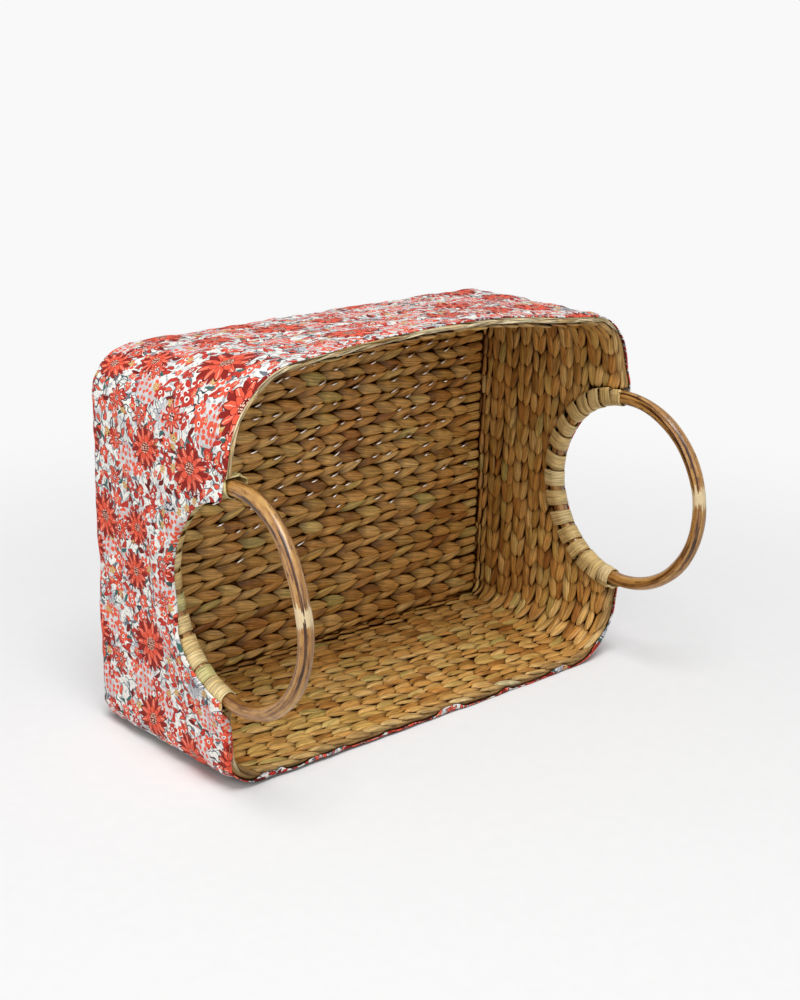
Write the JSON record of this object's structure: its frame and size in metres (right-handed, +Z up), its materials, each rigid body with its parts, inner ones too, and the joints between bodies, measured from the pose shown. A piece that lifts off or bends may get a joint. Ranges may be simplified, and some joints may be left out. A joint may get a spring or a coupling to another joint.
{
  "type": "seagrass basket",
  "caption": "Rectangular plaited seagrass basket lying on a long wall, printed cotton cover outside, a cane ring handle lashed into a half-round cut-out in each end wall.",
  "frame": {"origin": "on the surface that the basket lies on, under the middle of its box", "axes": "+X along the length, +Y from the open mouth to the base, +Z up from the long wall that it lies on; turned -90 degrees about X it stands on its base"},
  "size_m": [0.3626, 0.233, 0.2809],
  "materials": {
    "seagrass": "dried plaited leaf, golden brown, soft sheen",
    "straw": "pale dry straw",
    "cotton_print": "matte cotton, all-over floral print in coral, maroon and green on off-white",
    "cane": "varnished bent cane with burnt streaks",
    "palm_strip": "pale split palm strip, smooth"
  },
  "bodies": {
    "root": {"base_braid_01": "seagrass", "base_braid_02": "seagrass", "base_braid_03": "seagrass", "base_braid_04": "seagrass", "base_braid_05": "seagrass", "base_braid_06": "seagrass", "base_braid_07": "seagrass", "base_braid_08": "seagrass", "base_braid_09": "seagrass", "base_braid_10": "seagrass", "base_braid_11": "seagrass", "base_braid_12": "seagrass", "base_braid_13": "seagrass", "base_braid_14": "seagrass", "base_braid_15": "seagrass", "wall_course_1_upper": "seagrass", "wall_course_1_lower": "seagrass", "wall_course_2_upper": "seagrass", "wall_course_2_lower": "seagrass", "wall_course_3_upper": "seagrass", "wall_course_3_lower": "seagrass", "wall_course_4_upper": "seagrass", "wall_course_4_lower": "seagrass", "wall_course_5": "seagrass", "wall_course_6": "seagrass", "wall_course_7": "seagrass", "wall_course_8": "seagrass", "wall_course_9": "seagrass", "wall_course_10": "seagrass", "rim_strand_upper": "straw", "rim_strand_lower": "straw", "cover_side_band": "cotton_print", "cover_base_panel": "cotton_print", "ring_handle_left": "cane", "ring_handle_right": "cane", "ring_lashing_left": "palm_strip", "ring_lashing_right": "palm_strip"}
  },
  "joints": []
}
